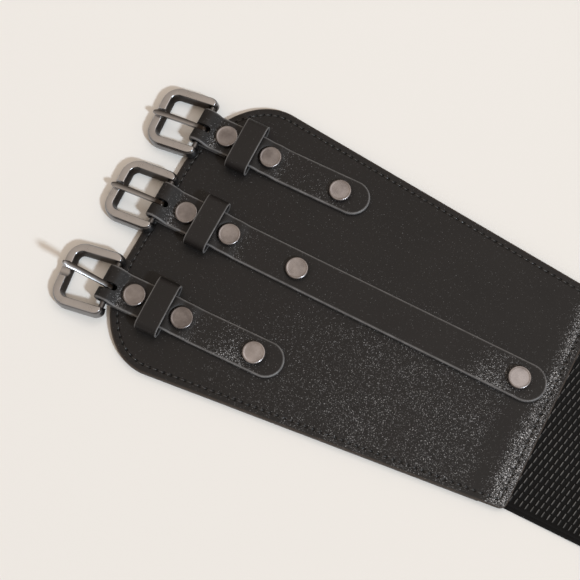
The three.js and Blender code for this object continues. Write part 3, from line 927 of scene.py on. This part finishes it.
def frame_line():
    """Plan outline of the frame with its side: 1 on the outside and 0 on the inside."""
    half = frame_tall / 2
    inner = half - arm_wide
    end = -frame_reach + end_wide
    long, high = 4.4 * MM, 3.2 * MM
    round_end = [(frame_tail - long + long * math.sin(a), half - high + high * math.cos(a), 1)
                 for a in (math.pi / 2 * i / 12 for i in range(13))]
    line = [(x * MM, -half, 1) for x in np.linspace(-15, -3, 7)]
    line += [(x, -y, side) for x, y, side in round_end]
    line += [(frame_tail - 0.4 * MM, -inner, 0)]
    line += [(x * MM, -inner, 0) for x in np.linspace(-1, -15, 8)]
    line += arc(end + frame_inner, -inner + frame_inner, frame_inner, 270, 180, 12, 0)
    line += [(end, y, 0) for y in np.linspace(-inner + frame_inner, inner - frame_inner, 9)[1:-1]]
    line += arc(end + frame_inner, inner - frame_inner, frame_inner, 180, 90, 12, 0)
    line += [(x * MM, inner, 0) for x in np.linspace(-15, -1, 8)]
    line += [(frame_tail - 0.4 * MM, inner, 0)]
    line += round_end[::-1]
    line += [(x * MM, half, 1) for x in np.linspace(-3, -15, 7)]
    line += arc(-frame_reach + frame_corner, half - frame_corner, frame_corner, 90, 180, 22, 1)
    line += arc(-frame_reach + frame_corner, -half + frame_corner, frame_corner, 180, 270, 22, 1)
    return [p for p, q in zip(line, line[1:] + line[:1]) if math.hypot(p[0] - q[0], p[1] - q[1]) > 1e-6]


def inset_line(line, outside, inside):
    """The line moved inwards, by one amount on its outside and another on its inside."""
    moved = []
    for before, here, after in zip(line[-1:] + line[:-1], line, line[1:] + line[:1]):
        a = Vector((here[0] - before[0], here[1] - before[1])).normalized()
        b = Vector((after[0] - here[0], after[1] - here[1])).normalized()
        mitre = Vector((-a.y - b.y, a.x + b.x))
        mitre = mitre / max(mitre.length_squared / 2, 0.5)
        by = outside * here[2] + inside * (1 - here[2])
        moved.append((here[0] + mitre.x * by, here[1] + mitre.y * by))
    return moved


def walled(line_at, profile, place):
    """Closed form through rings of one line, with flat fills made of triangles."""
    form = bmesh.new()
    rings = []
    for *insets, height in profile:
        rings.append([form.verts.new(place @ Vector((x, y, height * MM)))
                      for x, y in line_at(*[i * MM for i in insets])])
    count = len(rings[0])
    for low, high in zip(rings, rings[1:]):
        for i in range(count):
            form.faces.new((low[i], low[(i + 1) % count], high[(i + 1) % count], high[i]))
    ends = [form.faces.new(rings[0][::-1]), form.faces.new(rings[-1])]
    form.normal_update()
    bmesh.ops.triangulate(form, faces=ends)
    form.verts.index_update()
    corners = [v.co.copy() for v in form.verts]
    faces = [tuple(v.index for v in f.verts) for f in form.faces]
    form.free()
    return corners, faces


def rod(place, radius, length, sides):
    """Vertices and faces of a rod along local Y."""
    ring = [(radius * math.cos(math.tau * i / sides), radius * math.sin(math.tau * i / sides))
            for i in range(sides)]
    corners = [place @ Vector((x, y, z)) for y in (-length / 2, length / 2) for x, z in ring]
    faces = [(i + sides, (i + 1) % sides + sides, (i + 1) % sides, i) for i in range(sides)]
    return corners, faces + [tuple(range(sides)), tuple(range(2 * sides - 1, sides - 1, -1))]


def make_buckle(which):
    place = heel_frame(which) @ Matrix.Rotation(-frame_pitch, 4, "Y")
    line = frame_line()
    rows = [row[:3] for row in frame_profile]
    corners, faces = walled(lambda out, inn: inset_line(line, out, inn), rows, place)
    dulled = [out * side + inn * (1 - side) for *_, out, inn in frame_profile for _, _, side in line]
    node = "buckle_frame_" + which
    made = piece(node + "_cast", corners, faces, buckle_metal, body="frame_" + which, stands_for=node,
                 slot="hardware", sharp=50, dulled=dulled)
    notch_high = frame_thick / 2 - notch_deep + notch_radius
    along = place @ Matrix.Translation((-frame_reach + end_wide / 2, 0, notch_high))
    cut(made, [rod(along @ Matrix.Rotation(math.pi / 2, 4, "Z"), notch_radius, 2 * end_wide, 40)], sharp=50)
    # The heel bar is painted darker all over, a painted shade under the strap's fold.
    bar, bar_faces = rod(place, bar_radius, frame_tall - 1.2 * arm_wide, 32)
    piece("heel_bar_" + which, bar, bar_faces, buckle_metal, body="frame_" + which, slot="hardware", sharp=50,
          dulled=[0.8] * len(bar))


for which in ("top", "middle", "bottom"):
    make_buckle(which)


# Prongs
# Each prong is a drawn bar with an eye that turns on the heel bar. Its edges are chamfered, and its
# tip is a small rounded paddle that lies in the notch. The bottom one stands up from its frame.

prong_past = 0.2 * MM
prong_eye = 2.35 * MM
prong_arch = 0.5 * MM
prong_bevel = 0.35 * MM
prong_metal = gunmetal("prong_gunmetal", (172, 173, 177), 10, 0.22)
prong_width = [
    (3.0, 1.0), (0.0, 1.0), (-4.0, 1.0), (-14.0, 1.12),
    (-19.5, 1.12), (-21.5, 1.3), (-22.6, 1.25), (-23.4, 0.6),
]


def prong_side():
    """Side outline of a prong, heel bar at the origin and tip towards -X."""
    off = abs(prong_slide) + max(w for _, w in prong_width) * prong_wide / 2 - prong_bevel
    seat = frame_thick / 2 - notch_deep + lie_gap + notch_radius - math.sqrt(notch_radius ** 2 - off ** 2)
    tip = -frame_reach - prong_past
    line = [(0.0, prong_eye, 1)]
    run = np.linspace(0, 1, 16)[1:]
    rise = seat + prong_thick - prong_eye
    line += [(s * (tip + prong_thick / 2), prong_eye + rise * s + prong_arch * math.sin(math.pi * s), 1)
             for s in run]
    line += arc(tip + prong_thick / 2, seat + prong_thick / 2, prong_thick / 2, 90, 270, 12, 1)[1:]
    x0, z0 = line[-1][:2]
    z1 = prong_eye - prong_thick
    x1 = -math.sqrt(prong_eye ** 2 - z1 ** 2)
    line += [(x0 + (x1 - x0) * s, z0 + (z1 - z0) * s + prong_arch * math.sin(math.pi * s), 1)
             for s in np.linspace(0, 1, 14)[1:]]
    line += arc(0, 0, prong_eye, math.degrees(math.atan2(z1, x1)), 450, 44, 1)[1:-1]
    return line


def make_prong(which):
    lift = -joint("prong_swing_" + which)["range_deg"][0]
    place = heel_frame(which) @ Matrix.Rotation(math.radians(lift) - frame_pitch, 4, "Y")
    upright = Matrix.Translation((0, prong_slide, 0)) @ Matrix.Rotation(math.pi / 2, 4, "X")
    line = prong_side()
    half = prong_wide / MM / 2
    rows = [(0.6, 0, -half), (0.35, 0, -half), (0.1, 0, -half + 0.1), (0.0, 0, -half + 0.35),
            (0.0, 0, half - 0.35), (0.1, 0, half - 0.1), (0.35, 0, half), (0.6, 0, half)]
    corners, faces = walled(lambda out, inn: inset_line(line, out, inn), rows, upright)
    # Painted shade: one side of the bar, and its end at the eye in the strap's slot, are painted darker.
    dulled = [max(0.9 if wide < 1 - half + 0.3 else 0.0, min(max((x / MM + 4) / 2, 0), 1))
              for *_, wide in rows for x, *_ in line]
    widths = sorted(prong_width)
    for corner in corners:
        wide = np.interp(corner.x / MM, [x for x, _ in widths], [w for _, w in widths])
        corner.y = prong_slide + (corner.y - prong_slide) * wide
    node = "prong_" + which
    made = piece(node + "_bar", [place @ c for c in corners], faces, prong_metal, body=node, stands_for=node,
                 slot="hardware", sharp=45, dulled=dulled)
    eye = place @ Matrix.Translation((0, prong_slide, 0))
    cut(made, [rod(eye, bar_radius + lie_gap, 3 * prong_wide, 32)], sharp=45)


for which in ("top", "middle", "bottom"):
    make_prong(which)


# Billets
# Three plain straps that the buckles take, each fixed to the far panel by two rivets and punched with
# a row of round holes. Past the panel they come down to the table.

billet_wide = 16 * MM
billet_drop = 14 * MM
hole_radius = 1.5 * MM
hole_first = 20 * MM
hole_pitch = 12 * MM
hole_count = 5


def make_billet(which):
    node = "billet_" + which
    low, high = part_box(node)
    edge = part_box("billet_panel")[1].x - 0.5 * MM
    y = (low.y + high.y) / 2
    top = on_panel + strap_thick / 2
    bottom = strap_thick / 2 + 0.02 * MM
    line = [(low.x, top)] + ease(edge + lie_gap, top, edge + billet_drop, bottom) + [(high.x, bottom)]
    length, at = route(line)
    corners, faces, paints = plate(strap_outline(length, billet_wide, 1.5 * MM), strap_edge)
    for corner in corners:
        x, z, tx, tz = at(corner.x)
        rise = corner.z
        corner.x, corner.y, corner.z = x - rise * tz, y + corner.y, z + rise * tx
    made = piece(node + "_leather", corners, faces, strap_leather, stands_for=node, edge=paints)
    seats = [rivet_seat(n) for n in billet_rivets if n.startswith("billet_stud_" + which)]
    spots = [(seat.x, post_radius + cap_gap) for seat in seats]
    spots += [(high.x - hole_first - i * hole_pitch, hole_radius) for i in range(hole_count)]
    cut(made, [drill(x, y, radius, 0.01, 28) for x, radius in spots])


for which in ("top", "middle", "bottom"):
    make_billet(which)
